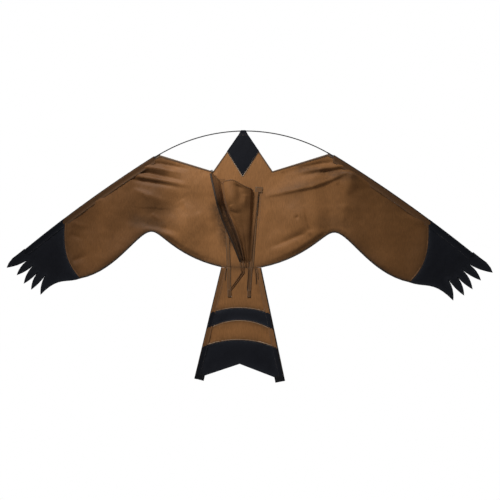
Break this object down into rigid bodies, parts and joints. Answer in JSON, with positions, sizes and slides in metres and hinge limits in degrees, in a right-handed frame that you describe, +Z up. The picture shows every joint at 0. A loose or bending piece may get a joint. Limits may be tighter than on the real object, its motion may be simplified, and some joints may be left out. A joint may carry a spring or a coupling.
{
  "type": "bird scaring hawk kite",
  "caption": "Flat hawk-shaped bird scaring kite of brown and black sailcloth on thin rods, with wings and a tail that flex and a belly pouch with a tow loop.",
  "frame": {"origin": "on the axis of the bow rod at the kite's nose", "axes": "+X to the viewer's right along the span, -Y out of the belly side, +Z up from the tail to the nose"},
  "size_m": [1.35, 0.0454, 0.697],
  "materials": {
    "brown_sailcloth": "satin woven polyester",
    "black_sailcloth": "satin woven polyester",
    "brown_sleeve": "doubled woven polyester",
    "dark_hem": "folded and sewn hem",
    "brown_tape": "sewn tape",
    "glass_fibre_rod": "pultruded glass fibre, dark",
    "soft_tube": "soft tubing",
    "black_webbing": "woven webbing"
  },
  "bodies": {
    "body": {"body_panel": "brown_sailcloth", "head_patch": "black_sailcloth", "nose_sleeve": "black_sailcloth", "bow_rod": "glass_fibre_rod", "left_shoulder_tube": "soft_tube", "right_shoulder_tube": "soft_tube", "left_head_hem": "dark_hem", "right_head_hem": "dark_hem", "left_neck_hem": "dark_hem", "right_neck_hem": "dark_hem", "left_inner_hem": "dark_hem", "right_inner_hem": "dark_hem", "left_belly_tape": "brown_tape", "right_belly_tape": "brown_tape", "tape_patches": "brown_tape", "belly_gusset": "brown_sailcloth"},
    "left_wing": {"left_wing_panel": "brown_sailcloth", "left_wing_tip": "black_sailcloth", "left_leading_sleeve": "brown_sleeve", "left_tip_sleeve": "black_sailcloth", "left_wing_rod": "glass_fibre_rod", "left_rod_cap": "soft_tube", "left_wing_hem": "dark_hem"},
    "right_wing": {"right_wing_panel": "brown_sailcloth", "right_wing_tip": "black_sailcloth", "right_leading_sleeve": "brown_sleeve", "right_tip_sleeve": "black_sailcloth", "right_wing_rod": "glass_fibre_rod", "right_rod_cap": "soft_tube", "right_wing_hem": "dark_hem"},
    "tail": {"tail_panel": "brown_sailcloth", "tail_band": "black_sailcloth", "tail_lower_panel": "brown_sailcloth", "tail_end_panel": "black_sailcloth", "left_tail_sleeve": "brown_sleeve", "right_tail_sleeve": "brown_sleeve", "left_tail_tab": "black_sailcloth", "right_tail_tab": "black_sailcloth", "left_tail_rod": "glass_fibre_rod", "right_tail_rod": "glass_fibre_rod", "tail_rod_caps": "soft_tube", "left_tail_tape": "brown_tape", "right_tail_tape": "brown_tape", "lower_pleats": "brown_sailcloth"},
    "belly": {"belly_panel": "brown_sailcloth", "mouth_hem": "dark_hem", "tow_loop": "black_webbing"}
  },
  "joints": [
    {"name": "left_wing_flap", "type": "hinge", "parent": "body", "child": "left_wing", "pos_m": [-0.24975, 0, -0.18], "axis": [0, 0, -1], "range_deg": [-30, 30], "stiffness_Nm_per_rad": 0.3, "deforming": ["left_shoulder_tube"]},
    {"name": "right_wing_flap", "type": "hinge", "parent": "body", "child": "right_wing", "pos_m": [0.24975, 0, -0.18], "axis": [0, 0, 1], "range_deg": [-30, 30], "stiffness_Nm_per_rad": 0.3, "deforming": ["right_shoulder_tube"]},
    {"name": "tail_tilt", "type": "hinge", "parent": "body", "child": "tail", "pos_m": [0, 0, -0.38267], "axis": [1, 0, 0], "range_deg": [-40, 40]},
    {"name": "belly_lift", "type": "hinge", "parent": "body", "child": "belly", "pos_m": [0.0365, -0.0023, -0.26989], "axis": [0.0934, 0, 0.9956], "range_deg": [0, 55], "deforming": ["belly_gusset"]}
  ]
}
